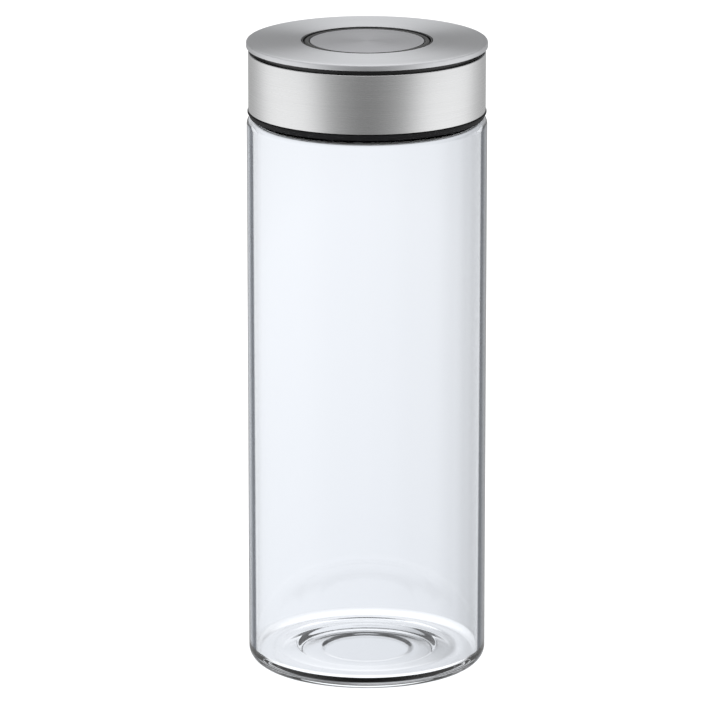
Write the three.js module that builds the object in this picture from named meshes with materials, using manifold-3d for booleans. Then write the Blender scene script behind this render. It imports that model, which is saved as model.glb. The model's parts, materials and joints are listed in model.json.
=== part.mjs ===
// A tall glass storage canister with a press-to-seal lid.
//
// Millimetres, +Z up. The origin is the centre of the ring that the jar stands on.
// The lid is a black plastic housing dressed with a steel band and a steel top plate.
// Its central button pushes three rocking levers. They pull a base plate up, which squeezes
// a silicone seal outwards against the jar's neck. A wire in a heart-shaped track holds the
// button down until it is pressed again. The model is at rest with the button down and sealed.

import * as THREE from "three";
import { mergeVertices } from "three/addons/utils/BufferGeometryUtils.js";
import Module from "manifold-3d";

const wasm = await Module();
wasm.setup();

// ---------------------------------------------------------------- driving dimensions

const gap = 0.3; // between pieces that touch
const largeSides = 36; // facets round a large circle
const smallSides = 10; // facets round a small circle

const jar = {
  radius: 50,
  wall: 2.8,
  cornerRadius: 5.6, // outside, at the base
  footInnerRadius: 38.5, // the flat ring it stands on starts here
  pushUp: 1.3, // the underside's hollow
  floorHeight: 5.0,
  sinkEdge: 30, // the floor's middle is sunken from here
  sinkRadius: 27, // to here
  sink: 1.3,
  shoulderHeight: 231.7, // where the straight wall ends
  shoulderRadius: 4,
  neckRadius: 45.2,
  rimHeight: 256,
};
jar.neckBore = jar.neckRadius - jar.wall;
jar.shoulderTop = jar.shoulderHeight + jar.shoulderRadius;

const lid = {
  top: 267,
  plateRadius: 50.1,
  plateRim: 2.6, // how far the plate's edge turns down
  plateEdge: 0.8, // the radius of that edge
  sheet: 0.7, // the plate's steel
  holeRadius: 27.35,
  bandRadius: 49.3,
  bandSheet: 0.6,
  bandBottom: 237.75,
  bandTop: 262.4,
  ringRadius: 49.65, // the black ring below the band
  ringBottom: 235.05,
  ringToe: 48.7, // the ring's radius at its bottom
  ringNeck: 49.35, // and just below its bead
  bead: 0.6,
};

const housing = {
  skirtRadius: lid.bandRadius - lid.bandSheet - gap,
  skirtBore: 46.0,
  skirtTop: 262.0,
  supportRadius: 47.0, // the wall that carries the plate's outer edge
  supportBore: 44.6,
  deckBottom: 256.4,
  deckTop: 259.2,
  wellBore: 28.3,
  wellRadius: 30.6,
  wellTop: 264.6,
  plugRadius: 36.4,
  plugBore: 34.2,
  plugBottom: 242.7,
  flangeRadius: 41.4, // the seal's upper flange
  flangeBottom: 250.3,
  flangeTop: 252.3,
  plugNeck: 38.6, // outside of the plug between that flange and the deck
  bossRadius: 2.4,
  bossTop: 262,
};

const button = {
  radius: 26.0,
  travel: 8,
  inlayRadius: 23.65,
  inlayTop: lid.top - 0.35,
  inlaySheet: 0.6,
  rimTop: lid.top - 0.2,
  webBottom: 263.9,
  skirtBore: 24.4,
  flangeRadius: 27.9,
  flangeBottom: 255.3,
  flangeTop: 256.5,
  stemRadius: 10,
  stemBore: 3.5,
  footRadius: 6, // the stem narrows to this where it presses on the levers
  keyHalfWidth: 1,
  keyHeight: 1.2,
};

const spring = {
  radius: 12.6,
  turns: 3.6,
  wireRadius: 0.5,
};

const lever = {
  count: 3,
  firstAngle: Math.PI / 2,
  pivotRadius: 25, // from the lid's axis
  pivotHeight: 248.9,
  innerArm: 20,
  outerArm: 6,
  restTilt: 0.2, // radians, inner end down
  barHeight: 3,
  width: 3.6,
  hubRadius: 2.9,
  pinRadius: 1.25,
  pinHalfLength: 4.7,
};
lever.noseRadius = lever.barHeight / 2;

const carrier = {
  bottom: 252.8,
  top: 254.8,
  radius: 29.6,
  lugRadius: 33.4,
  collarRadius: 14.6,
  collarTop: 257.2,
  stemHole: 10.4,
  earInner: 22.1,
  earOuter: 27.9,
  earBottom: 246.2,
  earNear: 2.2, // distance of the ears' faces from the lever's mid plane
  earFar: 4.4,
  lugHalfWidth: 4,
  leverSlotRadius: 14.2,
  leverSlotTop: 254.4,
};

const screw = {
  circle: 30.8, // distance from the lid's axis
  firstAngle: Math.PI / 6,
  shankRadius: 1.3,
  headRadius: 2.6,
  headHeight: 1.5,
  carrierLength: 8.2,
  baseLength: 6.4,
};

const base = {
  radius: 41.4,
  top: 242.0,
  bottom: 238.8,
  coverRadius: 38,
  coverBottom: 237.5,
  liftRingBore: 28.6,
  liftRingRadius: 33.6,
  liftRingTop: 244.4,
  bossTop: 248.2,
  bossRadius: 2.6,
  postInner: 29.8, // the posts that hold the levers' noses
  postOuter: 33.3,
  postHalfWidth: 3.6,
  postRoof: 3.4, // above the nose's centre
  counterbore: 2.0, // for the screws' heads
};

const latch = {
  angle: 0,
  wireRadius: 0.6,
  height: 256.3, // the wire's arm, and the track's notch at rest
  pivotRadius: 20,
  tipRadius: 8.9,
  trackDepth: 1.7,
  entry: 0.9, // half the width of the track's lower end
  lobe: 3.3, // half the width of its heart
  length: 8.9,
  shoulder: 2,
};

// ---------------------------------------------------------------- materials

const steel = (roughness) =>
  new THREE.MeshStandardMaterial({ color: 0xb9bbbd, metalness: 1, roughness });
const plastic = (color, roughness) =>
  new THREE.MeshStandardMaterial({ color, metalness: 0, roughness });

const materials = {
  glass: new THREE.MeshStandardMaterial({
    color: 0xe8eef2,
    metalness: 0,
    roughness: 0.03,
    transparent: true,
    opacity: 0.3,
  }),
  brushedSteel: steel(0.32),
  springSteel: steel(0.25),
  blackPlastic: plastic(0x141518, 0.42),
  blackSilicone: plastic(0x2a2c2e, 0.62),
  greyPlastic: plastic(0x8b8f94, 0.5),
  clearSilicone: plastic(0xd9dcdc, 0.55),
};

// ---------------------------------------------------------------- shape helpers

const point = (r, z) => new THREE.Vector2(r, z);

// Points on an arc in a profile, both ends included. Angles are in degrees.
function arc(r, z, radius, from, to, steps) {
  return Array.from({ length: steps + 1 }, (_, i) => {
    const a = THREE.MathUtils.degToRad(from + ((to - from) * i) / steps);
    return point(r + radius * Math.cos(a), z + radius * Math.sin(a));
  });
}

// A solid of revolution about Z. The profile runs anticlockwise in (radius, height).
function turned(profile, sides = largeSides) {
  const onAxis = profile[0].x === 0 && profile.at(-1).x === 0;
  const outline = onAxis ? profile : [...profile, profile[0].clone()];
  return new THREE.LatheGeometry(outline, sides).rotateX(Math.PI / 2);
}

// A ring or tube with a plain rectangular section.
const tube = (bore, radius, bottom, top, sides) =>
  turned(
    [point(bore, bottom), point(radius, bottom), point(radius, top), point(bore, top)],
    sides,
  );

// An upright cylinder at a place on the lid's plan.
function rod(radius, bottom, top, x = 0, y = 0, sides = smallSides) {
  return new THREE.CylinderGeometry(radius, radius, top - bottom, sides)
    .rotateX(Math.PI / 2)
    .translate(x, y, (bottom + top) / 2);
}

// A box from its lowest corner to its highest corner.
function block(x0, x1, y0, y1, z0, z1) {
  return new THREE.BoxGeometry(x1 - x0, y1 - y0, z1 - z0).translate(
    (x0 + x1) / 2,
    (y0 + y1) / 2,
    (z0 + z1) / 2,
  );
}

// A flat outline in (radius, height), given thickness across the radial plane of angle 0.
function radialPlate(outline, thickness, holes = []) {
  const shape = new THREE.Shape(outline);
  shape.holes = holes.map((hole) => new THREE.Path(hole));
  return new THREE.ExtrudeGeometry(shape, { depth: thickness, bevelEnabled: false })
    .rotateX(Math.PI / 2)
    .translate(0, thickness / 2, 0);
}

function toSolid(geometry) {
  const bare = geometry.clone();
  bare.deleteAttribute("normal");
  bare.deleteAttribute("uv");
  const merged = mergeVertices(bare, 1e-4);
  return new wasm.Manifold(
    new wasm.Mesh({
      numProp: 3,
      vertProperties: new Float32Array(merged.attributes.position.array),
      triVerts: new Uint32Array(merged.index.array),
    }),
  );
}

function toGeometry(solid) {
  const made = solid.getMesh();
  return new THREE.BufferGeometry()
    .setAttribute("position", new THREE.BufferAttribute(new Float32Array(made.vertProperties), 3))
    .setIndex(new THREE.BufferAttribute(new Uint32Array(made.triVerts), 1))
    .toNonIndexed();
}

const join = (...parts) => parts.map(toSolid).reduce((whole, part) => whole.add(part));
const cut = (solid, ...tools) => tools.map(toSolid).reduce((left, tool) => left.subtract(tool), solid);

const canister = new THREE.Group();

// Adds a named piece, turned about Z by angle.
function place(name, shape, material, angle = 0) {
  const geometry = shape.isBufferGeometry ? shape : toGeometry(shape);
  geometry.computeVertexNormals();
  const mesh = new THREE.Mesh(geometry, material);
  mesh.name = name;
  mesh.rotation.z = angle;
  canister.add(mesh);
  return mesh;
}

const around = (count, first) =>
  Array.from({ length: count }, (_, i) => first + (i * 2 * Math.PI) / count);
const leverAngles = around(lever.count, lever.firstAngle);
const screwAngles = around(lever.count, screw.firstAngle);
const screwPlaces = screwAngles.map((angle) => [
  screw.circle * Math.cos(angle),
  screw.circle * Math.sin(angle),
]);
const pilotRadius = screw.shankRadius + gap;
const slotHalfWidth = lever.width / 2 + 0.4; // of the openings that the levers move in

// ---------------------------------------------------------------- jar

function glassJar() {
  const { radius, wall, cornerRadius, shoulderHeight, shoulderRadius, neckRadius } = jar;
  const floorCorner = 2.2;
  const rimRadius = wall / 2;
  const bore = radius - wall;
  return turned([
    point(0, jar.pushUp),
    point(jar.footInnerRadius - 9, jar.pushUp / 2),
    point(jar.footInnerRadius, 0),
    ...arc(radius - cornerRadius, cornerRadius, cornerRadius, -90, 0, 4),
    ...arc(radius - shoulderRadius, shoulderHeight, shoulderRadius, 0, 90, 4),
    point(neckRadius, jar.shoulderTop),
    ...arc(neckRadius - rimRadius, jar.rimHeight - rimRadius, rimRadius, 0, 180, 4),
    ...arc(jar.neckBore + wall, jar.shoulderTop, wall, 180, 270, 2),
    ...arc(radius - shoulderRadius, shoulderHeight, shoulderRadius - wall, 90, 0, 2),
    ...arc(bore - floorCorner, jar.floorHeight + floorCorner, floorCorner, 0, -90, 3),
    point(jar.sinkEdge, jar.floorHeight),
    point(jar.sinkRadius, jar.floorHeight - jar.sink),
    point(0, jar.floorHeight - jar.sink),
  ]);
}

// ---------------------------------------------------------------- lid shells

// The top plate is a shallow steel dish, upside down, with a round hole for the button.
function topPlate() {
  const { plateRadius, plateEdge, sheet, top, holeRadius } = lid;
  const rimBottom = top - lid.plateRim;
  return turned([
    point(holeRadius, top - sheet),
    point(plateRadius - sheet, top - sheet),
    point(plateRadius - sheet, rimBottom),
    point(plateRadius, rimBottom),
    ...arc(plateRadius - plateEdge, top - plateEdge, plateEdge, 0, 90, 3),
    point(holeRadius, top),
  ]);
}

const band = () =>
  tube(lid.bandRadius - lid.bandSheet, lid.bandRadius, lid.bandBottom, lid.bandTop);

// The black ring below the band. Its underside follows the jar's shoulder.
function shoulderRing() {
  const top = lid.bandBottom - gap;
  const centre = jar.radius - jar.shoulderRadius;
  const seat = arc(centre, jar.shoulderHeight, jar.shoulderRadius + gap, 88, 54, 3);
  return turned([
    ...seat,
    point(lid.ringToe, lid.ringBottom),
    point(lid.ringNeck, top - lid.bead - 0.15),
    point(lid.ringRadius, top - lid.bead),
    point(lid.ringRadius, top),
    point(seat[0].x, top),
  ]);
}

// The housing is a skirt over the neck, a deck, a well for the button and a plug in the neck.
function lidHousing() {
  const h = housing;
  const body = turned([
    point(h.plugBore, h.plugBottom),
    point(h.plugRadius, h.plugBottom),
    point(h.plugRadius, h.flangeBottom),
    point(h.flangeRadius, h.flangeBottom),
    point(h.flangeRadius, h.flangeTop),
    point(h.plugNeck, h.flangeTop),
    point(h.plugNeck, h.deckBottom),
    point(h.skirtBore, h.deckBottom),
    point(h.skirtBore, lid.bandBottom),
    point(h.skirtRadius, lid.bandBottom),
    point(h.skirtRadius, h.skirtTop),
    point(h.supportRadius, h.skirtTop),
    point(h.supportRadius, lid.top - lid.sheet - gap),
    point(h.supportBore, lid.top - lid.sheet - gap),
    point(h.supportBore, h.deckTop),
    point(h.wellRadius, h.deckTop),
    point(h.wellRadius, h.wellTop),
    point(h.wellBore, h.wellTop),
    point(h.wellBore, h.deckBottom),
    point(h.plugBore, h.deckBottom),
  ]);
  const bossBottom = carrier.top + gap;
  const bosses = screwPlaces.map(([x, y]) => rod(h.bossRadius, bossBottom, h.bossTop, x, y));
  const pilots = screwPlaces.map(([x, y]) => rod(pilotRadius, bossBottom - 1, h.bossTop - 1, x, y));
  return cut(join(body, ...bosses), ...pilots);
}

// A guide ring in the plate's hole. Its flange is held between the plate and the housing.
function wellBezel() {
  const bore = button.radius + 0.35;
  const radius = lid.holeRadius - gap;
  const crown = (radius - bore) / 2;
  const flangeRadius = 29.4;
  return turned([
    point(bore, housing.wellTop + gap),
    point(flangeRadius, housing.wellTop + gap),
    point(flangeRadius, lid.top - lid.sheet - gap),
    point(radius, lid.top - lid.sheet - gap),
    ...arc(bore + crown, lid.top - crown, crown, 0, 180, 4),
  ]);
}

// ---------------------------------------------------------------- button

// The latch track sunk in the stem, in (across, height) from the wire's rest place. The stem
// passes the wire along its middle, so the island that the wire swings round is left out.
function latchTrack() {
  const { entry, lobe, length, shoulder, trackDepth } = latch;
  const outline = new THREE.Shape([
    point(-entry, -length),
    point(entry, -length),
    point(entry, shoulder - length),
    point(lobe, -3),
    point(lobe, 1),
    point(lobe / 2, 1.9),
    point(0, 0.9),
    point(-lobe / 2, 1.9),
    point(-lobe, 1),
    point(-lobe, -3),
    point(-entry, shoulder - length),
  ]);
  return new THREE.ExtrudeGeometry(outline, { depth: trackDepth + 1, bevelEnabled: false })
    .rotateX(Math.PI / 2)
    .rotateZ(Math.PI / 2)
    .translate(button.stemRadius - trackDepth, 0, latch.height)
    .rotateZ(latch.angle);
}

const leverTop = (radius) =>
  lever.pivotHeight -
  (lever.pivotRadius - radius) * Math.tan(lever.restTilt) +
  lever.noseRadius / Math.cos(lever.restTilt);
const stemBottom = leverTop(button.footRadius) + gap;
const keyAngle = Math.PI; // the rib that stops the button turning

function buttonCap() {
  const b = button;
  const shoulder = 0.9;
  const inlayBore = b.inlayRadius + gap;
  const shell = turned([
    point(0, b.webBottom),
    point(b.skirtBore, b.webBottom),
    point(b.skirtBore, b.flangeBottom),
    point(b.flangeRadius, b.flangeBottom),
    point(b.flangeRadius, b.flangeTop),
    point(b.radius, b.flangeTop),
    ...arc(b.radius - shoulder, b.rimTop - shoulder, shoulder, 0, 90, 3),
    point(inlayBore, b.rimTop),
    point(inlayBore, b.inlayTop - b.inlaySheet - gap),
    point(0, b.inlayTop - b.inlaySheet - gap),
  ]);
  const footTop = leverTop(b.stemRadius) + 0.6;
  const stem = turned(
    [
      point(b.stemBore, stemBottom),
      point(b.footRadius, stemBottom),
      point(b.stemRadius, footTop),
      point(b.stemRadius, b.webBottom + 0.5),
      point(b.stemBore, b.webBottom + 0.5),
    ],
    32,
  );
  const key = block(
    b.stemRadius - 1,
    b.stemRadius + b.keyHeight,
    -b.keyHalfWidth,
    b.keyHalfWidth,
    footTop,
    b.webBottom + 0.5,
  );
  return cut(join(shell, stem, key.rotateZ(keyAngle)), latchTrack());
}

const buttonInlay = () =>
  turned([
    point(0, button.inlayTop - button.inlaySheet),
    point(button.inlayRadius, button.inlayTop - button.inlaySheet),
    point(button.inlayRadius, button.inlayTop - 0.15),
    point(button.inlayRadius - 0.15, button.inlayTop),
    point(0, button.inlayTop),
  ]);

class Helix extends THREE.Curve {
  constructor(radius, turns, bottom, top) {
    super();
    Object.assign(this, { radius, turns, bottom, top });
  }
  getPoint(t, target = new THREE.Vector3()) {
    const a = t * this.turns * 2 * Math.PI;
    const height = this.bottom + t * (this.top - this.bottom);
    return target.set(this.radius * Math.cos(a), this.radius * Math.sin(a), height);
  }
}

// A round wire along a curve.
function wire(curve, radius, steps, sides = 8) {
  const section = new THREE.Shape(arc(0, 0, radius, 0, 360 - 360 / sides, sides - 1));
  return new THREE.ExtrudeGeometry(section, { steps, extrudePath: curve, bevelEnabled: false });
}

function buttonSpring() {
  const { radius, turns, wireRadius } = spring;
  const bottom = carrier.collarTop + gap + wireRadius;
  const top = button.webBottom - gap - wireRadius;
  const stepsPerTurn = 12;
  return wire(new Helix(radius, turns, bottom, top), wireRadius, Math.round(turns * stepsPerTurn), 6);
}

// ---------------------------------------------------------------- mechanism

// The carrier closes the well from below. It holds the levers, the spring and the latch wire.
function mechanismCarrier() {
  const c = carrier;
  const deck = turned([
    point(c.stemHole, c.bottom),
    point(c.radius, c.bottom),
    point(c.radius, c.top),
    point(c.collarRadius, c.top),
    point(c.collarRadius, c.collarTop),
    point(c.stemHole, c.collarTop),
  ]);
  const lugs = screwAngles.map((angle) =>
    block(c.radius - 3, c.lugRadius, -c.lugHalfWidth, c.lugHalfWidth, c.bottom, c.top).rotateZ(angle),
  );
  const ears = leverAngles.flatMap((angle) =>
    [-1, 1].map((side) => {
      const [near, far] = side > 0 ? [c.earNear, c.earFar] : [-c.earFar, -c.earNear];
      return block(c.earInner, c.earOuter, near, far, c.earBottom, c.bottom + 0.5).rotateZ(angle);
    }),
  );
  const pinHoles = leverAngles.map((angle) =>
    new THREE.CylinderGeometry(lever.pinRadius + gap, lever.pinRadius + gap, 12, smallSides)
      .translate(lever.pivotRadius, 0, lever.pivotHeight)
      .rotateZ(angle),
  );
  const leverSlots = leverAngles.map((angle) =>
    block(
      c.stemHole - 1,
      c.leverSlotRadius,
      -slotHalfWidth,
      slotHalfWidth,
      c.bottom - 0.5,
      c.leverSlotTop,
    ).rotateZ(angle),
  );
  const screwHoles = screwPlaces.map(([x, y]) => rod(pilotRadius, c.bottom - 1, c.top + 1, x, y));
  const keyDepth = button.stemRadius + button.keyHeight + 0.4;
  const keyHalf = button.keyHalfWidth + 0.4;
  const keyway = block(c.stemHole - 1, keyDepth, -keyHalf, keyHalf, c.bottom - 1, c.collarTop + 1);
  const wireHalf = latch.wireRadius + 1.1;
  const wireSlot = block(c.stemHole - 1, c.collarRadius + 1, -wireHalf, wireHalf, c.top + 0.5, c.collarTop + 1);
  const wireHole = rod(latch.wireRadius + gap, c.bottom - 1, c.top + 1, latch.pivotRadius, 0);
  return cut(
    join(deck, ...lugs, ...ears),
    ...pinHoles,
    ...leverSlots,
    ...screwHoles,
    keyway.rotateZ(keyAngle),
    wireSlot.rotateZ(latch.angle),
    wireHole.rotateZ(latch.angle),
  );
}

// A lever in its radial plane: a bar with round noses and a hub at the pivot.
function rockerLever() {
  const { innerArm, outerArm, noseRadius, hubRadius, width, pinRadius } = lever;
  const edge = THREE.MathUtils.radToDeg(Math.asin(noseRadius / hubRadius));
  const outline = [
    ...arc(-innerArm, 0, noseRadius, 90, 270, 4),
    ...arc(0, 0, hubRadius, 180 + edge, 360 - edge, 4),
    ...arc(outerArm, 0, noseRadius, -90, 90, 4),
    ...arc(0, 0, hubRadius, edge, 180 - edge, 4),
  ];
  const bore = arc(0, 0, pinRadius + gap, 360, 30, 11);
  return radialPlate(outline, width, [bore])
    .rotateY(-lever.restTilt)
    .translate(lever.pivotRadius, 0, lever.pivotHeight);
}

const leverPin = () =>
  new THREE.CylinderGeometry(lever.pinRadius, lever.pinRadius, 2 * lever.pinHalfLength, smallSides).translate(
    lever.pivotRadius,
    0,
    lever.pivotHeight,
  );

// A pan head screw that goes in from below. seat is the face its head bears on.
function panScrew(seat, length) {
  const { shankRadius, headRadius, headHeight, circle } = screw;
  const headTop = seat - gap;
  const chamfer = 0.5;
  const blank = turned(
    [
      point(0, headTop - headHeight),
      point(headRadius - chamfer, headTop - headHeight),
      point(headRadius, headTop - headHeight + chamfer),
      point(headRadius, headTop),
      point(shankRadius, headTop),
      point(shankRadius, headTop + length - chamfer),
      point(shankRadius - chamfer, headTop + length),
      point(0, headTop + length),
    ],
    smallSides,
  );
  const slotDepth = 0.8;
  const slot = (half, across) =>
    block(-half, half, -across, across, headTop - headHeight - 1, headTop - headHeight + slotDepth);
  return toGeometry(cut(toSolid(blank), slot(1.5, 0.3), slot(0.3, 1.5))).translate(circle, 0, 0);
}

// The wire stands in the carrier's deck, turns inwards and ends in the heart track.
function latchWire() {
  const bend = 1.2;
  const { pivotRadius, height, tipRadius, wireRadius } = latch;
  const path = new THREE.CurvePath();
  const up = new THREE.Vector3(pivotRadius, 0, height - bend);
  const turn = new THREE.Vector3(pivotRadius - bend, 0, height);
  path.add(new THREE.LineCurve3(new THREE.Vector3(pivotRadius, 0, carrier.bottom + 0.3), up));
  path.add(new THREE.QuadraticBezierCurve3(up, new THREE.Vector3(pivotRadius, 0, height), turn));
  path.add(new THREE.LineCurve3(turn, new THREE.Vector3(tipRadius, 0, height)));
  return wire(path, wireRadius, 10);
}

// The lift ring joins the levers' outer ends to the base plate. Each post holds one lever's nose.
function liftRing() {
  const b = base;
  const ring = tube(b.liftRingBore, b.liftRingRadius, b.top + gap, b.liftRingTop);
  const noseHeight = lever.pivotHeight + lever.outerArm * Math.sin(lever.restTilt);
  const play = lever.noseRadius + 0.35;
  const posts = leverAngles.map((angle) =>
    block(
      b.postInner,
      b.postOuter,
      -b.postHalfWidth,
      b.postHalfWidth,
      b.top + gap,
      noseHeight + b.postRoof,
    ).rotateZ(angle),
  );
  const pockets = leverAngles.map((angle) =>
    block(
      b.postInner - 1,
      b.postOuter - 0.6,
      -slotHalfWidth,
      slotHalfWidth,
      noseHeight - play,
      noseHeight + play,
    ).rotateZ(angle),
  );
  const bosses = screwPlaces.map(([x, y]) => rod(b.bossRadius, b.top + gap, b.bossTop, x, y));
  const pilots = screwPlaces.map(([x, y]) => rod(pilotRadius, b.top - 1, b.bossTop - 0.8, x, y));
  return cut(join(ring, ...posts, ...bosses), ...pockets, ...pilots);
}

function basePlate() {
  const b = base;
  const disc = turned([
    point(0, b.bottom),
    point(b.radius - 0.8, b.bottom),
    point(b.radius, b.bottom + 0.8),
    point(b.radius, b.top),
    point(0, b.top),
  ]);
  const holes = screwPlaces.map(([x, y]) => rod(pilotRadius, b.bottom - 1, b.top + 1, x, y));
  const seats = screwPlaces.map(([x, y]) =>
    rod(screw.headRadius + gap, b.bottom - 1, b.bottom + b.counterbore, x, y),
  );
  return cut(toSolid(disc), ...holes, ...seats);
}

// A smooth cover on the food side that hides the base plate's screws.
const baseCover = () =>
  turned([
    point(0, base.coverBottom),
    point(base.coverRadius - 0.6, base.coverBottom),
    point(base.coverRadius, base.coverBottom + 0.5),
    point(base.coverRadius, base.bottom - gap),
    point(0, base.bottom - gap),
  ]);

// The seal is a silicone ring with three lips, between the housing's flange and the base plate.
function sealGasket() {
  const bore = housing.plugRadius + gap;
  const bottom = base.top + gap;
  const top = housing.flangeBottom - gap;
  const lipRadius = jar.neckBore - 0.4;
  const valleyRadius = lipRadius - 1.1;
  const lips = 3;
  const pitch = (top - bottom) / lips;
  const outside = Array.from({ length: lips }, (_, i) => [
    point(valleyRadius, bottom + i * pitch),
    point(lipRadius, bottom + (i + 0.35) * pitch),
    point(lipRadius, bottom + (i + 0.65) * pitch),
  ]).flat();
  return turned([point(bore, bottom), ...outside, point(valleyRadius, top), point(bore, top)]);
}

// ---------------------------------------------------------------- assembly

const m = materials;
place("glass_jar", glassJar(), m.glass);
place("shoulder_ring", shoulderRing(), m.blackSilicone);
place("lid_housing", lidHousing(), m.blackPlastic);
place("lid_band", band(), m.brushedSteel);
place("lid_top_plate", topPlate(), m.brushedSteel);
place("well_bezel", wellBezel(), m.blackPlastic);
place("button_cap", buttonCap(), m.blackPlastic);
place("button_inlay", buttonInlay(), m.brushedSteel);
place("button_spring", buttonSpring(), m.springSteel);
place("mechanism_carrier", mechanismCarrier(), m.greyPlastic);
place("latch_wire", latchWire(), m.springSteel, latch.angle);
place("lift_ring", liftRing(), m.greyPlastic);
place("base_plate", basePlate(), m.blackPlastic);
place("base_cover", baseCover(), m.blackPlastic);
place("seal_gasket", sealGasket(), m.clearSilicone);
leverAngles.forEach((angle, i) => {
  place(`lever_${i + 1}`, rockerLever(), m.greyPlastic, angle);
  place(`lever_pin_${i + 1}`, leverPin(), m.springSteel, angle);
});
const baseScrewSeat = base.bottom + base.counterbore;
screwAngles.forEach((angle, i) => {
  place(`carrier_screw_${i + 1}`, panScrew(carrier.bottom, screw.carrierLength), m.springSteel, angle);
  place(`base_screw_${i + 1}`, panScrew(baseScrewSeat, screw.baseLength), m.springSteel, angle);
});

export default canister;
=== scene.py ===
"""Looks of the lidded glass canister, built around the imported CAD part.

Everything is in metres in the CAD part's frame, +Z up. MM turns millimetres into metres.
Round pieces are turned from short profiles. Their outer sizes are read from the CAD nodes'
boxes, so each piece lies where its CAD solid lies. Inner sizes are constants in millimetres.
"""

import json
import math

import bpy
from mathutils import Matrix, Vector
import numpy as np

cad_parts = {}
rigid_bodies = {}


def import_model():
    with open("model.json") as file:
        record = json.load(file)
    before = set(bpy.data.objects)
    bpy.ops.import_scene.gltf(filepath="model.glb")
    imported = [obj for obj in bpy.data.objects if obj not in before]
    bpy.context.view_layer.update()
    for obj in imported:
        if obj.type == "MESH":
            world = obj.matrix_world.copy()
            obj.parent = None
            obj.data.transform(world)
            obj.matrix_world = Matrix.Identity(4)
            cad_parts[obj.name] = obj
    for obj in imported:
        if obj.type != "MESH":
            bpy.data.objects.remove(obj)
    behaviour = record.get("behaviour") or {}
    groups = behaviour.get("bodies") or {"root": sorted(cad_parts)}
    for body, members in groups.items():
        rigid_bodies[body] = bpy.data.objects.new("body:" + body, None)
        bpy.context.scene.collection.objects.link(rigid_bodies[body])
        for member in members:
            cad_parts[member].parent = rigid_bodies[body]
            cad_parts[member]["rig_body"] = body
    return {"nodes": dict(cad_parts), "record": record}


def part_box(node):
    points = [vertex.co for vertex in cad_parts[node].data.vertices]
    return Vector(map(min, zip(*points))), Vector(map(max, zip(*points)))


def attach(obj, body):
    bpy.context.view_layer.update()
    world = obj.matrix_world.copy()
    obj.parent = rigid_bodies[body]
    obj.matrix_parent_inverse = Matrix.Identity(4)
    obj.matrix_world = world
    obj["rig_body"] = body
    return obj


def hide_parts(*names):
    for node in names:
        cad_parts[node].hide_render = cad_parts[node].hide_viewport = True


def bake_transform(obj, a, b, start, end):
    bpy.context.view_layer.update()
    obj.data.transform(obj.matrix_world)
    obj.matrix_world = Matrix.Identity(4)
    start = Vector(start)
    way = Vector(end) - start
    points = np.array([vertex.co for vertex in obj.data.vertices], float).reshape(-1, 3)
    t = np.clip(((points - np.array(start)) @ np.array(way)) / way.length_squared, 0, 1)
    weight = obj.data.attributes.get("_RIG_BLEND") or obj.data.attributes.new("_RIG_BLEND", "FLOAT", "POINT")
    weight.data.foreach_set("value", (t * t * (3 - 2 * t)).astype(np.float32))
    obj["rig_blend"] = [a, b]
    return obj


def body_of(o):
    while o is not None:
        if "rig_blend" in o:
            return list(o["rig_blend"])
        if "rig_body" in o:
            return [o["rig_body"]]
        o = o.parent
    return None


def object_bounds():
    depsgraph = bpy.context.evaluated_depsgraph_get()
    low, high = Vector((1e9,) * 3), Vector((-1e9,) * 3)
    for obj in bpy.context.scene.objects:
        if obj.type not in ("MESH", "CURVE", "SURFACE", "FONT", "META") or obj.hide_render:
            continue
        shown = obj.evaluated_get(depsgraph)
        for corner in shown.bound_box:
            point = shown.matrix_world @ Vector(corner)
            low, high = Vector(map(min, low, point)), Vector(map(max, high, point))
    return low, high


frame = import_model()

cad_low, cad_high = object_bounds()

MM = 0.001
SEGMENTS = 192  # round a visible turned piece
GLASS_SEGMENTS = 256
PILOT_RADIUS = 1.6  # of the holes that the screws run in


# ---------------------------------------------------------------- camera


def make_camera():
    """At the photograph's viewing angle: far off with a long lens, looking 15 degrees down."""
    distance = 2.34
    height_above_lid = 0.489
    pitch = math.radians(14.98)
    aside = -2.9 * MM
    eye = Vector((0, -distance, cad_high[2] + height_above_lid))
    target = Vector((aside, 0, eye.z - distance * math.tan(pitch)))
    data = bpy.data.cameras.new("camera")
    data.lens = 288.5
    data.sensor_width = 36
    data.clip_end = 100
    camera = bpy.data.objects.new("camera", data)
    camera.location = eye
    camera.rotation_euler = (target - eye).to_track_quat("-Z", "Y").to_euler()
    bpy.context.scene.collection.objects.link(camera)
    bpy.context.scene.camera = camera


# ---------------------------------------------------------------- mesh helpers


def arc(r, z, radius, start, end, steps):
    """Points on an arc of a profile, both ends included, in millimetres and degrees."""
    angles = [math.radians(start + (end - start) * i / steps) for i in range(steps + 1)]
    return [(r + radius * math.cos(a), z + radius * math.sin(a)) for a in angles]


def rounded(corners, steps=4):
    """A profile whose corners (r, z, radius) are rounded by an arc where the radius isn't 0."""
    points = []
    count = len(corners)
    for i, (r, z, radius) in enumerate(corners):
        here = Vector((r, z))
        if radius == 0:
            points.append((r, z))
            continue
        before = (Vector(corners[i - 1][:2]) - here).normalized()
        after = (Vector(corners[(i + 1) % count][:2]) - here).normalized()
        half = before.angle(after) / 2
        reach = radius / math.tan(half)
        centre = here + (before + after).normalized() * (radius / math.sin(half))
        first = here + before * reach - centre
        last = here + after * reach - centre
        for step in range(steps + 1):
            spoke = first.lerp(last, step / steps).normalized() * radius
            points.append(tuple(centre + spoke))
    return points


def fade(start, end, value):
    """0 up to start, 1 from end on, and smooth between them."""
    t = min(max((value - start) / (end - start), 0), 1)
    return t * t * (3 - 2 * t)


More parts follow.
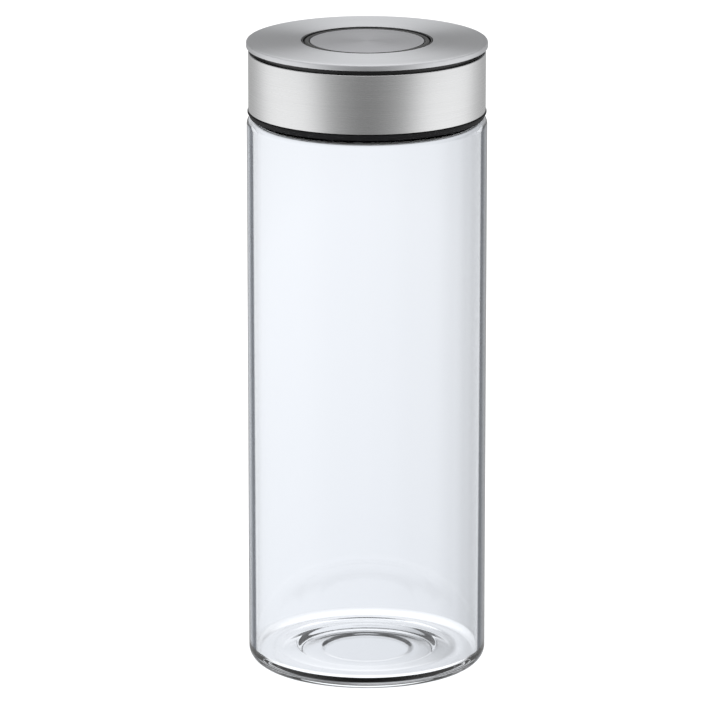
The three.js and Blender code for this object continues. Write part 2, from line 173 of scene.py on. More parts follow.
def mesh_object(name, vertices, faces, sharp_degrees=40):
    mesh = bpy.data.meshes.new(name)
    mesh.from_pydata(vertices, [], faces)
    mesh.validate()
    mesh.shade_smooth()
    mesh.set_sharp_from_angle(angle=math.radians(sharp_degrees))
    piece = bpy.data.objects.new(name, mesh)
    bpy.context.scene.collection.objects.link(piece)
    return piece


def turned(name, profile, segments=SEGMENTS, sharp_degrees=40):
    """A solid of revolution about Z. The profile is in millimetres, anticlockwise in (r, z).

    It closes on itself, unless it starts and ends on the axis.
    """
    on_axis = profile[0][0] == 0 and profile[-1][0] == 0
    rings = []
    vertices = []
    for r, z in profile:
        if r == 0:
            rings.append([len(vertices)] * segments)
            vertices.append((0, 0, z * MM))
            continue
        rings.append(list(range(len(vertices), len(vertices) + segments)))
        for i in range(segments):
            a = 2 * math.pi * i / segments
            vertices.append((r * math.cos(a) * MM, r * math.sin(a) * MM, z * MM))
    pairs = list(zip(rings, rings[1:]))
    if not on_axis:
        pairs.append((rings[-1], rings[0]))
    faces = []
    for low, high in pairs:
        for i in range(segments):
            j = (i + 1) % segments
            corners = [low[i], low[j], high[j], high[i]]
            faces.append(tuple(dict.fromkeys(corners)))
    return mesh_object(name, vertices, faces, sharp_degrees)


def swept(name, path, radius, sides=16):
    """A round wire with flat ends along a path of points, all in millimetres."""
    points = [Vector(p) for p in path]
    last = len(points) - 1
    vertices = []
    side = None
    for i, here in enumerate(points):
        along = (points[min(i + 1, last)] - points[max(i - 1, 0)]).normalized()
        side = along.orthogonal() if side is None else side - along * side.dot(along)
        side.normalize()
        up = along.cross(side)
        for k in range(sides):
            a = 2 * math.pi * k / sides
            vertices.append((here + (side * math.cos(a) + up * math.sin(a)) * radius) * MM)
    faces = [tuple(reversed(range(sides))), tuple(range(last * sides, (last + 1) * sides))]
    for i in range(last):
        for k in range(sides):
            a = i * sides + k
            b = i * sides + (k + 1) % sides
            faces.append((a, b, b + sides, a + sides))
    return mesh_object(name, vertices, faces)


def slab(name, outline, half):
    """A flat outline of (x, z) points, anticlockwise seen from -Y, with thickness 2 x half."""
    count = len(outline)
    front = [(x * MM, -half * MM, z * MM) for x, z in outline]
    back = [(x * MM, half * MM, z * MM) for x, z in outline]
    faces = [tuple(range(count)), tuple(reversed(range(count, 2 * count)))]
    for i in range(count):
        j = (i + 1) % count
        faces.append((j, i, i + count, j + count))
    return mesh_object(name, front + back, faces)


def block(x0, x1, y0, y1, z0, z1):
    piece = slab("tool", [(x0, z0), (x1, z0), (x1, z1), (x0, z1)], (y1 - y0) / 2)
    piece.data.transform(Matrix.Translation((0, (y0 + y1) / 2 * MM, 0)))
    return piece


def rod(radius, bottom, top, x=0.0, y=0.0, segments=40):
    profile = [(0, bottom), (radius, bottom), (radius, top), (0, top)]
    piece = turned("tool", profile, segments)
    piece.data.transform(Matrix.Translation((x * MM, y * MM, 0)))
    return piece


def spun(piece, angle):
    piece.data.transform(Matrix.Rotation(angle, 4, "Z"))
    return piece


def machined(piece, joined=(), cut=(), sharp_degrees=40):
    """Joins and cuts a piece with tools, which are used up."""
    for operation, tools in (("UNION", joined), ("DIFFERENCE", cut)):
        for tool in tools:
            step = piece.modifiers.new("step", "BOOLEAN")
            step.operation = operation
            step.solver = "EXACT"
            step.object = tool
            depsgraph = bpy.context.evaluated_depsgraph_get()
            made = bpy.data.meshes.new_from_object(piece.evaluated_get(depsgraph))
            piece.modifiers.clear()
            piece.data = made
            bpy.data.objects.remove(tool)
    piece.data.shade_smooth()
    piece.data.set_sharp_from_angle(angle=math.radians(sharp_degrees))
    return piece


def eased(piece, width_mm, segments=2, degrees=50):
    """Small round edges, which every moulded or turned piece has."""
    bevel = piece.modifiers.new("edges", "BEVEL")
    bevel.width = width_mm * MM
    bevel.segments = segments
    bevel.limit_method = "ANGLE"
    bevel.angle_limit = math.radians(degrees)
    bevel.harden_normals = True
    return piece


def clad(piece, material, body, slot, *nodes):
    """Gives a piece its material and its body, and hides the CAD nodes that it stands for. The slot is not
    used.
    """
    piece.data.materials.clear()
    piece.data.materials.append(material)
    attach(piece, body)
    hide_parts(*nodes)
    return piece


def body_of_node(node):
    """The name of the body that a CAD node belongs to."""
    return body_of(frame["nodes"][node])[0]


def radius_of(node):
    """The largest radius of a turned CAD node, in millimetres."""
    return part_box(node)[1].x / MM


def bottom_of(node):
    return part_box(node)[0].z / MM


def top_of(node):
    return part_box(node)[1].z / MM


def round_the_lid(first_degrees):
    return [math.radians(first_degrees + 120 * i) for i in range(3)]


lever_angles = round_the_lid(90)
screw_circle = 30.8
screw_places = [(screw_circle * math.cos(a), screw_circle * math.sin(a)) for a in round_the_lid(30)]


# ---------------------------------------------------------------- shader helpers


class Nodes:
    """A short way to write a node tree."""

    def __init__(self, tree):
        self.tree = tree

    def node(self, kind, inputs=None, **settings):
        made = self.tree.nodes.new("ShaderNode" + kind)
        for key, value in settings.items():
            setattr(made, key, value)
        for key, value in (inputs or {}).items():
            self.set(made.inputs[key], value)
        return made

    def set(self, socket, value):
        if isinstance(value, bpy.types.NodeSocket):
            self.tree.links.new(value, socket)
        else:
            socket.default_value = value

    def math(self, operation, *values):
        return self.node("Math", dict(enumerate(values)), operation=operation).outputs[0]

    def ramp(self, value, *stops, interpolation="LINEAR"):
        made = self.node("ValToRGB", {0: value})
        fill_ramp(made.color_ramp, stops, interpolation)
        return made.outputs[0]

    def mix(self, factor, first, second, blend="MIX"):
        inputs = {0: factor, 6: first, 7: second}
        return self.node("Mix", inputs, data_type="RGBA", blend_type=blend).outputs[2]

    def bump(self, height, strength, distance_mm):
        inputs = {"Height": height, "Strength": strength, "Distance": distance_mm * MM}
        return self.node("Bump", inputs).outputs[0]


class Shader(Nodes):
    """A material with one Principled surface."""

    def __init__(self, name):
        self.material = bpy.data.materials.new(name)
        self.material.use_nodes = True
        super().__init__(self.material.node_tree)
        self.principled = self.tree.nodes["Principled BSDF"]

    def surface(self, **values):
        for key, value in values.items():
            self.set(self.principled.inputs[key.replace("_", " ")], value)


def fill_ramp(ramp, stops, interpolation="LINEAR"):
    """Stops are (place, grey) or (place, (r, g, b))."""
    ramp.interpolation = interpolation
    while len(ramp.elements) < len(stops):
        ramp.elements.new(1)
    for element, (place, tone) in zip(ramp.elements, stops):
        element.position = place
        rgb = tone if isinstance(tone, tuple) else (tone, tone, tone)
        element.color = (*rgb, 1)


# ---------------------------------------------------------------- materials


def cylindrical(shader, across, along):
    """Object coordinates as (radius, turn, height), scaled: fine across, long along the turn."""
    place = shader.node("TexCoord").outputs["Object"]
    xyz = shader.node("SeparateXYZ", {0: place}).outputs
    flat = shader.node("CombineXYZ", {0: xyz[0], 1: xyz[1], 2: 0.0}).outputs[0]
    radius = shader.node("VectorMath", {0: flat}, operation="LENGTH").outputs["Value"]
    turn = shader.math("ARCTAN2", xyz[1], xyz[0])
    inputs = {
        0: shader.math("MULTIPLY", radius, across / MM),
        1: shader.math("MULTIPLY", turn, along),
        2: shader.math("MULTIPLY", xyz[2], across / MM),
    }
    return shader.node("CombineXYZ", inputs).outputs[0]


def brushed_steel(name, roughness, anisotropy, tone):
    """Stainless steel brushed round the axis, with fine lines that vary in depth."""
    s = Shader(name)
    lines = cylindrical(s, 9.0, 1.6)
    fine = s.node("TexNoise", {"Vector": lines, "Scale": 1.0, "Detail": 5.0, "Roughness": 0.7})
    coarse = s.node("TexNoise", {"Vector": lines, "Scale": 0.22, "Detail": 3.0, "Roughness": 0.6})
    fine_share = s.math("MULTIPLY", fine.outputs[0], 0.65)
    coarse_share = s.math("MULTIPLY", coarse.outputs[0], 0.35)
    grain = s.math("ADD", fine_share, coarse_share)
    light = tuple(c * 1.06 for c in tone)
    dark = tuple(c * 0.94 for c in tone)
    tangent = s.node("Tangent", direction_type="RADIAL", axis="Z").outputs[0]
    s.surface(
        Base_Color=s.ramp(grain, (0.3, dark), (0.7, light)),
        Metallic=1.0,
        Roughness=s.math("ADD", s.math("MULTIPLY", grain, 0.16), roughness - 0.08),
        Anisotropic=anisotropy,
        Anisotropic_Rotation=0.25,
        Tangent=tangent,
        Normal=s.bump(grain, 0.07, 0.02),
    )
    return s.material


def drawn_steel():
    """Spring wire, pins and screws."""
    s = Shader("drawn_steel")
    place = s.node("TexCoord").outputs["Object"]
    grain = s.node("TexNoise", {"Vector": place, "Scale": 2600.0, "Detail": 3.0}).outputs[0]
    s.surface(
        Base_Color=s.ramp(grain, (0.3, (0.42, 0.42, 0.43)), (0.7, (0.56, 0.56, 0.57))),
        Metallic=1.0,
        Roughness=s.math("ADD", s.math("MULTIPLY", grain, 0.2), 0.16),
        Normal=s.bump(grain, 0.1, 0.02),
    )
    return s.material


def moulded(name, tone, roughness, specular=0.5, grain_mm=0.35, depth=0.12):
    """Moulded plastic or silicone with a fine spark-eroded grain."""
    s = Shader(name)
    place = s.node("TexCoord").outputs["Object"]
    grain_scale = 1 / (grain_mm * MM)
    grain = s.node("TexNoise", {"Vector": place, "Scale": grain_scale, "Detail": 4.0}).outputs[0]
    drift = s.node("TexNoise", {"Vector": place, "Scale": 60.0, "Detail": 2.0}).outputs[0]
    low = tuple(c * 0.85 for c in tone)
    high = tuple(c * 1.15 for c in tone)
    s.surface(
        Base_Color=s.ramp(drift, (0.3, low), (0.7, high)),
        Roughness=s.math("ADD", s.math("MULTIPLY", grain, 0.16), roughness - 0.08),
        Specular_IOR_Level=specular,
        Normal=s.bump(grain, depth, 0.05),
    )
    return s.material


def clear_glass():
    """Pressed glass, clear face on and greyer where it is seen along its surface: painted shade, with dark
    lines.
    """
    s = Shader("clear_glass")
    facing = s.node("LayerWeight", {"Blend": 0.5}).outputs["Facing"]
    # Painted shade: dark lines and grey at grazing angles, in place of the dark surroundings that the glass
    # would refract and reflect.
    wall = s.ramp(
        facing,
        (0.0, (0.985, 0.99, 1.0)),
        (0.665, (0.97, 0.98, 0.99)),
        (0.69, (0.02, 0.025, 0.035)),
        (0.745, (0.012, 0.016, 0.022)),
        (0.785, (0.16, 0.18, 0.21)),
        (0.83, (0.50, 0.53, 0.57)),
        (0.92, (0.28, 0.30, 0.34)),
        (1.0, (0.2, 0.22, 0.25)),
    )
    # The painted shade falls only on upright faces that look away from the axis, not on the bore or the
    # floor.
    normal = s.node("NewGeometry").outputs["Normal"]
    normal_z = s.node("SeparateXYZ", {0: normal}).outputs[2]
    upright = s.ramp(s.math("ABSOLUTE", normal_z), (0.35, 1.0), (0.7, 0.0), interpolation="EASE")
    place = s.node("TexCoord").outputs["Object"]
    away = s.node("VectorMath", {0: normal, 1: place}, operation="DOT_PRODUCT").outputs["Value"]
    outside = s.math("GREATER_THAN", away, 0.0)
    tint_and_painted_shade = s.mix(s.math("MULTIPLY", upright, outside), (0.975, 0.985, 0.995, 1), wall)
    waves = s.node("TexNoise", {"Vector": place, "Scale": 26.0, "Detail": 1.0}).outputs[0]
    s.surface(
        Base_Color=tint_and_painted_shade,
        Roughness=0.0,
        IOR=1.5,
        Transmission_Weight=1.0,
        Normal=s.bump(waves, 0.06, 0.3),
    )
    path = s.node("LightPath").outputs
    passing = s.math("MAXIMUM", path["Is Shadow Ray"], path["Is Diffuse Ray"])
    clear = s.node("BsdfTransparent", {"Color": (0.96, 0.97, 0.98, 1)})
    mix = s.node("MixShader", {0: passing, 1: s.principled.outputs[0], 2: clear.outputs[0]})
    s.set(s.tree.nodes["Material Output"].inputs["Surface"], mix.outputs[0])
    return s.material


def translucent_silicone():
    s = Shader("translucent_silicone")
    place = s.node("TexCoord").outputs["Object"]
    grain = s.node("TexNoise", {"Vector": place, "Scale": 2400.0, "Detail": 3.0}).outputs[0]
    s.surface(
        Base_Color=s.ramp(grain, (0.3, (0.66, 0.69, 0.7)), (0.7, (0.74, 0.76, 0.77))),
        Roughness=0.42,
        Subsurface_Weight=0.6,
        Subsurface_Radius=(0.004, 0.004, 0.004),
        Normal=s.bump(grain, 0.08, 0.03),
    )
    return s.material


# ---------------------------------------------------------------- jar


def make_jar(material):
    """The jar with its moulded floor: its middle is sunken in two round steps."""
    radius = radius_of("glass_jar")
    rim = top_of("glass_jar")
    wall = 2.8
    corner = 5.6
    shoulder = 4.0
    shoulder_z = 231.7
    neck = 45.2
    neck_fillet = 0.6
    floor_corner = 2.2
    foot = 38.5  # inside of the ring that it stands on
    push_up = 1.3  # height of the hollow underneath
    push_up_level = 20  # it is level out to here
    push_up_radii = (8, 12, 16, push_up_level, 23, 26, 29, 32, 35, 37)
    floor = 5.0
    profile = [(0, push_up)]
    profile += [(r, push_up * (1 - fade(push_up_level, foot, r))) for r in push_up_radii]
    profile += [(foot, 0)]
    profile += arc(radius - corner, corner, corner, -90, 0, 16)
    profile += arc(radius - shoulder, shoulder_z, shoulder, 0, 90, 14)
    profile += arc(neck + neck_fillet, shoulder_z + shoulder + neck_fillet, neck_fillet, -90, -180, 4)
    profile += arc(neck - wall / 2, rim - wall / 2, wall / 2, 0, 180, 14)
    profile += arc(neck, shoulder_z + shoulder, wall, 180, 270, 8)
    profile += arc(radius - shoulder, shoulder_z, shoulder - wall, 90, 0, 6)
    inner = radius - wall
    profile += arc(inner - floor_corner, floor + floor_corner, floor_corner, 0, -80, 12)
    profile += floor_rings(inner - floor_corner, floor)
    jar = turned("jar", profile, GLASS_SEGMENTS, 60)
    return clad(jar, material, "jar", "glass", "glass_jar")


def floor_rings(edge, floor):
    """The floor's upper face from its edge to the axis, as (r, z): a ripple and two steps down."""
    steps_down = [(30, 27, 1.3), (20, 17.5, 0.4)]  # from radius, to radius, depth
    ripple_radius = 38
    ripple_height = 0.22
    ripple_width = 1.8
    points = []
    steps = 96
    for i in range(steps + 1):
        r = edge * (1 - i / steps)
        z = floor - sum(depth * (1 - fade(low, high, r)) for high, low, depth in steps_down)
        z += ripple_height * math.exp(-(((r - ripple_radius) / ripple_width) ** 2))
        points.append((r, z))
    return points


# ---------------------------------------------------------------- lid


def make_lid(materials):
    plate_top = top_of("lid_top_plate")
    plate_bottom = bottom_of("lid_top_plate")
    plate_radius = radius_of("lid_top_plate")
    sheet = 0.7
    hole = 27.35
    plate = turned(
        "top_plate",
        rounded(
            [
                (hole, plate_top - sheet, 0.06),
                (plate_radius - sheet, plate_top - sheet, 0),
                (plate_radius - sheet, plate_bottom, 0.15),
                (plate_radius, plate_bottom, 0.25),
                (plate_radius, plate_top, 0.85),
                (hole, plate_top, 0.08),
            ],
            6,
        ),
    )
    clad(plate, materials["plate_steel"], "lid", "brushed_steel", "lid_top_plate")

    band_radius = radius_of("lid_band")
    band_bore = band_radius - 0.6
    band_top = top_of("lid_band")
    band_bottom = bottom_of("lid_band")
    band = turned(
        "side_band",
        rounded(
            [
                (band_bore, band_bottom, 0.1),
                (band_radius, band_bottom, 0.2),
                (band_radius, band_top, 0.3),
                (band_bore, band_top, 0.1),
            ]
        ),
    )
    clad(band, materials["band_steel"], "lid", "brushed_steel", "lid_band")

    ring_radius = radius_of("shoulder_ring")
    ring_top = top_of("shoulder_ring")
    ring_bottom = bottom_of("shoulder_ring")
    seat = arc(46, 231.7, 4.3, 88, 54, 8)  # clear of the jar's shoulder by 0.3
    toe_radius = 48.7
    waist_radius = 49.35
    ring = turned(
        "shoulder_ring_soft",
        rounded(
            [(r, z, 0) for r, z in seat]
            + [
                (toe_radius, ring_bottom, 0.12),
                (waist_radius, ring_top - 0.75, 0),
                (ring_radius, ring_top - 0.6, 0.1),
                (ring_radius, ring_top, 0.15),
                (seat[0][0], ring_top, 0),
            ]
        ),
    )
    clad(ring, materials["black_silicone"], "lid", "black_silicone", "shoulder_ring")

    bezel_bore = 26.5
    bezel_radius = hole - 0.3
    flange_radius = 29.4
    flange_top = plate_top - 1
    crown = (bezel_radius - bezel_bore) / 2
    bezel_bottom = bottom_of("well_bezel")
    bezel = turned(
        "bezel",
        [
            (bezel_bore, bezel_bottom),
            (flange_radius, bezel_bottom),
            (flange_radius, flange_top),
            (bezel_radius, flange_top),
        ]
        + arc(bezel_bore + crown, plate_top - crown, crown, 0, 180, 10),
    )
    clad(bezel, materials["black_plastic"], "lid", "black_plastic", "well_bezel")


def make_housing(material):
    """A skirt over the neck, a deck, a well for the button and a plug in the neck."""
    top = top_of("lid_housing")
    collar_bore = 44.6
    collar_radius = 47.0
    skirt_bore = 46.0
    skirt_radius = 48.4
    skirt_top = 262.0
    skirt_bottom = bottom_of("lid_band")
    deck_top = 259.2
    deck = 256.4
    well_bore = 28.3
    well_radius = 30.6
    well_top = 264.6
    plug_bore = 34.2
    plug_radius = 36.4
    plug_bottom = 242.7
    throat_radius = 38.6
    flange_radius = 41.4
    flange_top = 252.3
    flange_bottom = 250.3
    housing = turned(
        "housing",
        rounded(
            [
                (plug_bore, plug_bottom, 0.4),
                (plug_radius, plug_bottom, 0.4),
                (plug_radius, flange_bottom, 0.3),
                (flange_radius, flange_bottom, 0.4),
                (flange_radius, flange_top, 0.4),
                (throat_radius, flange_top, 0.5),
                (throat_radius, deck, 0.6),
                (skirt_bore, deck, 0.8),
                (skirt_bore, skirt_bottom, 0.3),
                (skirt_radius, skirt_bottom, 0.3),
                (skirt_radius, skirt_top, 0.4),
                (collar_radius, skirt_top, 0.3),
                (collar_radius, top, 0.3),
                (collar_bore, top, 0.3),
                (collar_bore, deck_top, 0.6),
                (well_radius, deck_top, 0.6),
                (well_radius, well_top, 0.3),
                (well_bore, well_top, 0.3),
                (well_bore, deck, 0.3),
                (plug_bore, deck, 0.6),
            ],
            3,
        ),
    )
    boss_radius = 2.4
    boss_bottom = 255.1
    boss_top = 262
    bosses = [rod(boss_radius, boss_bottom, boss_top, x, y) for x, y in screw_places]
    pilots = [rod(PILOT_RADIUS, boss_bottom - 1.1, boss_top - 1, x, y) for x, y in screw_places]
    machined(housing, bosses, pilots)
    clad(housing, material, "lid", "black_plastic", "lid_housing")


def make_seal(material):
    """Three soft lips between the housing's flange and the base plate. It gives as they part."""
    low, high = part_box("seal_gasket")
    bottom = low.z / MM
    top = high.z / MM
    lip = high.x / MM
    bore = 36.7
    depth = 1.1
    lips = 3
    steps = 36
    profile = [(bore, bottom)]
    for i in range(steps + 1):
        wave = abs(math.sin(math.pi * lips * i / steps)) ** 0.8
        profile.append((lip - depth + depth * wave, bottom + (top - bottom) * i / steps))
    profile.append((bore, top))
    profile += [(bore, top - (top - bottom) * i / 8) for i in range(1, 8)]
    seal = turned("seal", profile)
    seal.data.materials.append(material)
    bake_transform(seal, "lid", "base", start=(0, 0, high.z), end=(0, 0, low.z))
    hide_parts("seal_gasket")


def make_base(material):
    top = top_of("base_plate")
    bottom = bottom_of("base_plate")
    radius = radius_of("base_plate")
    plate = turned(
        "base_disc",
        rounded([(0, bottom, 0), (radius, bottom, 0.9), (radius, top, 0.4), (0, top, 0)], 6),
    )
    head_seat_radius = 2.9
    head_seat_depth = 2
    holes = [rod(PILOT_RADIUS, bottom - 1, top + 1, x, y) for x, y in screw_places]
    seats = [rod(head_seat_radius, bottom - 1, bottom + head_seat_depth, x, y) for x, y in screw_places]
    clad(machined(plate, (), holes + seats), material, "base", "black_plastic", "base_plate")

    top = top_of("base_cover")
    bottom = bottom_of("base_cover")
    radius = radius_of("base_cover")
    cover = turned(
        "base_cap",
        rounded([(0, bottom, 0), (radius, bottom, 0.55), (radius, top, 0.2), (0, top, 0)], 6),
    )
    clad(cover, material, "base", "black_plastic", "base_cover")


# ---------------------------------------------------------------- button


def make_button(materials):
    inlay_radius = radius_of("button_inlay")
    inlay_top = top_of("button_inlay")
    inlay_bottom = bottom_of("button_inlay")
    inlay = turned(
        "button_disc",
        rounded(
            [
                (0, inlay_bottom, 0),
                (inlay_radius, inlay_bottom, 0.06),
                (inlay_radius, inlay_top, 0.08),
                (0, inlay_top, 0),
            ]
        ),
    )
    clad(inlay, materials["disc_steel"], "button", "brushed_steel", "button_inlay")

    radius = 26.0
    crown = 0.5
    rim = top_of("button_cap")
    web = 263.9
    skirt_bore = 24.4
    flange_radius = 27.9
    flange_bottom = 255.3
    flange_top = 256.5
    seat = inlay_bottom - 0.3
    bore = inlay_radius + 0.4
    middle = (radius + bore) / 2
    half = (radius - bore) / 2
    profile = rounded(
        [
            (0, web, 0),
            (skirt_bore, web, 0.8),
            (skirt_bore, flange_bottom, 0.2),
            (flange_radius, flange_bottom, 0.3),
            (flange_radius, flange_top, 0.3),
            (radius, flange_top, 0.4),
            (radius, rim - crown, 0),
        ],
        4,
    )
    crown_steps = 12
    for i in range(1, crown_steps):
        a = math.pi * i / crown_steps
        profile.append((middle + half * math.cos(a), rim - crown * (1 - math.sin(a))))
    profile += [(bore, rim - crown), (bore, seat), (0, seat)]
    cap = turned("cap", profile)

    stem_radius = 10
    foot_radius = 6
    stem_bore = 3.5
    stem_bottom = bottom_of("button_cap")
    stem_top = web + 0.5
    taper_top = stem_bottom + 1.1
    stem = turned(
        "stem",
        rounded(
            [
                (stem_bore, stem_bottom, 0.3),
                (foot_radius, stem_bottom, 0.3),
                (stem_radius, taper_top, 0.4),
                (stem_radius, stem_top, 0),
                (stem_bore, stem_top, 0),
            ]
        ),
        96,
    )
    key_height = 1.2
    key_half_width = 1
    key = block(
        -stem_radius - key_height,
        -stem_radius + 1,
        -key_half_width,
        key_half_width,
        taper_top,
        stem_top,
    )
    machined(cap, [stem, key], [latch_track(stem_radius)])
    clad(cap, materials["black_plastic"], "button", "black_plastic", "button_cap")


def latch_track(stem_radius):
    """The heart-shaped track that the wire's tip runs in, as a tool. It lies across X."""
    rest = 256.3
    way_in = 0.9  # half the width of the track's lower end
    heart = 3.3  # half the width of its upper end
    half_depth = 1.35
    inset = 0.35
    right = [(way_in, -8.9), (way_in, -6.9), (heart, -3), (heart, 1), (heart / 2, 1.9)]
    left = [(-y, z) for y, z in reversed(right)]
    corners = [(y, rest + z, 0.5) for y, z in right + [(0, 0.9)] + left]
    tool = slab("tool", rounded(corners, 3), half_depth)
    turn = Matrix.Rotation(math.pi / 2, 4, "Z")
    tool.data.transform(Matrix.Translation(((stem_radius - inset) * MM, 0, 0)) @ turn)
    return tool


def make_spring(material):
    """A wire spring between the carrier's collar and the button, with its ends closed."""
    low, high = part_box("button_spring")
    wire = 0.5
    radius = high.x / MM - wire
    bottom = low.z / MM + wire
    top = high.z / MM - wire
    turns = 5.2
    closed = 0.14  # share of the wire at each end where the steady climb hasn't begun
    soft_start = 0.06  # the same for the soft climb, which joins the closed ends to the coil
    soft_share = 0.35  # of the whole climb
    steps = 260
    path = []
    for i in range(steps + 1):
        t = i / steps
        a = 2 * math.pi * turns * t
        soft = fade(soft_start, 1 - soft_start, t)
        steady = min(max((t - closed) / (1 - 2 * closed), 0), 1)
        climb = soft_share * soft + (1 - soft_share) * steady
        path.append((radius * math.cos(a), radius * math.sin(a), bottom + (top - bottom) * climb))
    spring = swept("coil_spring", path, wire, 14)
    spring.data.materials.append(material)
    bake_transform(spring, "lid", "button", start=(0, 0, low.z), end=(0, 0, high.z))
    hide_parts("button_spring")


# ---------------------------------------------------------------- mechanism


def make_levers(materials):
    """Three rocking levers on steel pins. Each is a bar with round noses and a hub."""
    pivot = Vector((25, 0, 248.9)) * MM
    inner_arm = 20
    outer_arm = 6
    nose = 1.5
    hub = 2.9
    bore_radius = 1.55
    half_thickness = 1.8
    rest_tilt = -0.2
    pin_radius = 1.25
    pin_half = 4.7
    edge = math.degrees(math.asin(nose / hub))
    outline = arc(-inner_arm, 0, nose, 90, 270, 12) + arc(0, 0, hub, 180 + edge, 360 - edge, 12)
    outline += arc(outer_arm, 0, nose, -90, 90, 12) + arc(0, 0, hub, edge, 180 - edge, 12)
    lying = Matrix.Rotation(math.pi / 2, 4, "X")
    tilt = Matrix.Rotation(rest_tilt, 4, "Y")
    for i, angle in enumerate(lever_angles):
        bore = rod(bore_radius, -6, 6)
        bore.data.transform(lying)
        lever = machined(slab(f"rocker_lever_{i + 1}", outline, half_thickness), (), [bore])
        lever.data.transform(Matrix.Translation(pivot) @ tilt)
        eased(spun(lever, angle), 0.25)
        clad(lever, materials["grey_plastic"], f"rocker_{i + 1}", "grey_plastic", f"lever_{i + 1}")

        node = f"lever_pin_{i + 1}"
        profile = rounded(
            [
                (0, -pin_half, 0),
                (pin_radius, -pin_half, 0.25),
                (pin_radius, pin_half, 0.25),
                (0, pin_half, 0),
            ]
        )
        pin = turned(f"rocker_pin_{i + 1}", profile, 40)
        pin.data.transform(Matrix.Translation(pivot) @ lying)
        clad(spun(pin, angle), materials["spring_steel"], body_of_node(node), "spring_steel", node)


def make_screws(material):
    """Pan heads with a cross recess, driven up from below, and a rolled thread."""
    head_radius = 2.6
    head_height = 1.5
    crest = 1.3
    root = 1.02
    pitch = 0.8
    flat = 0.1  # of the thread's root, on each side
    recess_reach = 1.5
    recess_half = 0.3
    recess_depth = 0.8
    for kind in ("carrier_screw", "base_screw"):
        for i, (x, y) in enumerate(screw_places):
            node = f"{kind}_{i + 1}"
            bottom = bottom_of(node)
            top = top_of(node)
            head = bottom + head_height
            # The last corner only gives the head its direction: the thread starts at its root.
            profile = rounded(
                [(0, bottom, 0), (head_radius, bottom, 0.6), (head_radius, head, 0.1), (crest, head, 0)]
            )[:-1]
            for turn in range(int((top - head - 0.6) / pitch)):
                z = head + turn * pitch
                profile += [(root, z + flat), (crest, z + pitch * 0.5), (root, z + pitch - flat)]
            profile += [(0.9, top - 0.3), (0.6, top), (0, top)]
            screw = turned(f"{kind}_fine_{i + 1}", profile, 32)
            low = bottom - 1
            deep = bottom + recess_depth
            recess = [block(-recess_reach, recess_reach, -recess_half, recess_half, low, deep)]
            recess.append(block(-recess_half, recess_half, -recess_reach, recess_reach, low, deep))
            machined(screw, (), recess)
            screw.data.transform(Matrix.Translation((x * MM, y * MM, 0)))
            clad(screw, material, body_of_node(node), "spring_steel", node)


def make_latch_wire(material):
    """It stands in the carrier, turns inwards and ends in the heart-shaped track."""
    low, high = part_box("latch_wire")
    wire = 0.6
    out = high.x / MM - wire
    tip = low.x / MM
    foot = low.z / MM
    height = high.z / MM - wire
    bend = 1.2
    straight = 4
    path = [(out, 0, foot), (out, 0, foot + 1)]
    path += [(r, 0, z) for r, z in arc(out - bend, height - bend, bend, 0, 90, 8)]
    path += [(tip + straight, 0, height), (tip, 0, height)]
    latch = swept("latch", path, wire, 20)
    clad(latch, material, body_of_node("latch_wire"), "spring_steel", "latch_wire")


# ---------------------------------------------------------------- studio


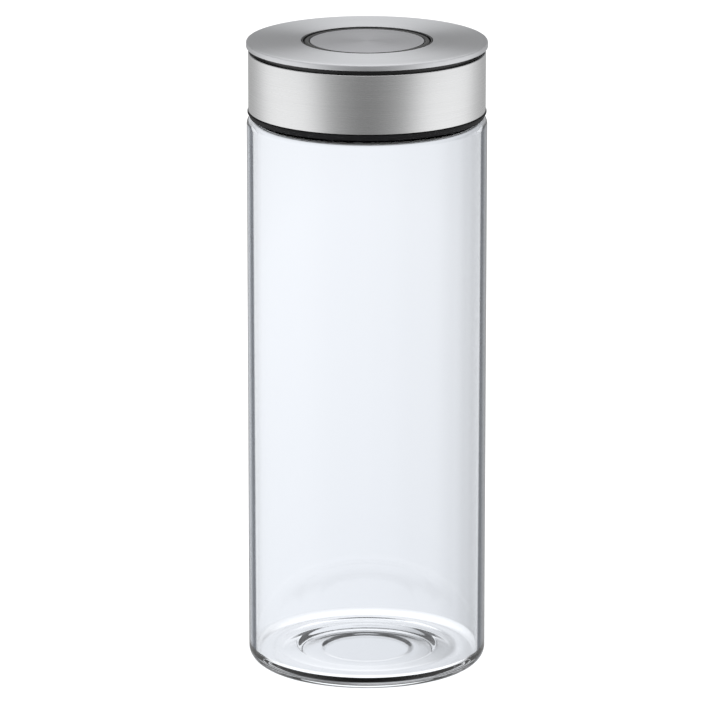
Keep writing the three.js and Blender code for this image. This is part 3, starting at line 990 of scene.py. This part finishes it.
def make_world():
    """A white studio. Gloss finds soft grey tones all round, and see-through light finds a grey card.

    The card stands behind the jar on its right. Seen through the glass, the studio also fades
    with the angle below the horizon.
    The floor shows in neither, so a polished or clear surface sees the studio below the horizon.
    """
    world = bpy.data.worlds.new("studio")
    bpy.context.scene.world = world
    world.use_nodes = True
    world.cycles.sampling_method = "NONE"
    n = Nodes(world.node_tree)
    direction = n.node("TexCoord").outputs["Generated"]
    x, y, z = n.node("SeparateXYZ", {0: direction}).outputs
    from_front = n.math("DIVIDE", n.math("ARCTAN2", x, n.math("MULTIPLY", y, -1.0)), math.pi)
    path = n.node("LightPath").outputs

    low = n.ramp(
        n.math("ABSOLUTE", from_front),
        (0.0, 0.19), (0.08, 0.20), (0.20, 0.36), (0.28, 0.62), (0.36, 0.80), (0.50, 0.82),
        (0.62, 0.78), (0.72, 0.50), (0.85, 0.32), (0.95, 0.34), (1.0, 0.45),
        interpolation="B_SPLINE",
    )
    high = n.ramp(
        z,
        (0.0, 0.28), (0.12, 0.22), (0.35, 0.24), (0.55, 0.55), (0.8, 0.80), (1.0, 0.9),
        interpolation="EASE",
    )
    above = n.ramp(z, (0.02, 0.0), (0.16, 1.0), interpolation="EASE")
    gloss = n.mix(above, low, high)

    right = n.ramp(
        from_front,
        (0.0, 0.84), (0.80, 0.80), (0.86, 0.58), (0.91, 0.38), (0.94, 0.40), (0.96, 0.52),
        (0.975, 0.66), (0.988, 0.77), (1.0, 0.84),
        interpolation="EASE",
    )
    steep = n.ramp(n.math("ABSOLUTE", z), (0.4, 0.0), (0.65, 1.0), interpolation="EASE")
    backdrop = n.mix(steep, right, (1, 1, 1, 1))
    fall = n.ramp(
        n.math("MULTIPLY", z, -1.0),
        (0.0, (0.60, 0.61, 0.63)),
        (0.1, (0.74, 0.755, 0.78)),
        (0.2, (0.845, 0.86, 0.89)),
        (0.32, (0.765, 0.785, 0.82)),
        (0.6, (0.95, 0.96, 0.98)),
    )
    see_through = n.mix(1.0, backdrop, fall, "MULTIPLY")

    sky = n.mix(path["Is Glossy Ray"], (1, 1, 1, 1), gloss)
    sky = n.mix(path["Is Transmission Ray"], sky, see_through)
    n.set(world.node_tree.nodes["Background"].inputs["Color"], sky)
    n.set(world.node_tree.nodes["Background"].inputs["Strength"], 1.35)


def make_floor():
    half = 12
    below = 0.05 * MM  # so that the jar's foot doesn't flicker with it
    corners = [(-half, -half, 0), (half, -half, 0), (half, half, 0), (-half, half, 0)]
    mesh = bpy.data.meshes.new("floor")
    mesh.from_pydata(corners, [], [(0, 1, 2, 3)])
    floor = bpy.data.objects.new("floor", mesh)
    bpy.context.scene.collection.objects.link(floor)
    s = Shader("floor")
    s.surface(Base_Color=(0.93, 0.93, 0.93, 1), Roughness=0.6, Specular_IOR_Level=0.0)
    mesh.materials.append(s.material)
    floor.location.z = -below
    floor.visible_glossy = False
    floor.visible_transmission = False


# ---------------------------------------------------------------- assembly

make_camera()
bpy.context.scene.view_settings.view_transform = "Standard"

materials = {
    "glass": clear_glass(),
    "plate_steel": brushed_steel("plate_steel", 0.40, 0.85, (0.74, 0.75, 0.77)),
    "band_steel": brushed_steel("band_steel", 0.26, 0.6, (0.74, 0.745, 0.75)),
    "disc_steel": brushed_steel("disc_steel", 0.36, 0.3, (0.66, 0.665, 0.69)),
    "black_plastic": moulded("black_plastic", (0.006, 0.006, 0.007), 0.24, 0.5),
    "black_silicone": moulded("black_silicone", (0.008, 0.008, 0.009), 0.5, 0.12),
    "grey_plastic": moulded("grey_plastic", (0.25, 0.26, 0.28), 0.45),
    "spring_steel": drawn_steel(),
    "clear_silicone": translucent_silicone(),
}

make_world()
make_floor()
make_jar(materials["glass"])
make_lid(materials)
make_housing(materials["black_plastic"])
make_seal(materials["clear_silicone"])
make_base(materials["black_plastic"])
make_button(materials)
make_spring(materials["spring_steel"])
make_levers(materials)
make_screws(materials["spring_steel"])
make_latch_wire(materials["spring_steel"])
slots = {part["node"]: part["material_slot"] for part in frame["record"]["subparts"]}
for name in ("mechanism_carrier", "lift_ring"):
    node = eased(frame["nodes"][name], 0.25)
    node.data.materials.clear()
    node.data.materials.append(materials[slots[name]])
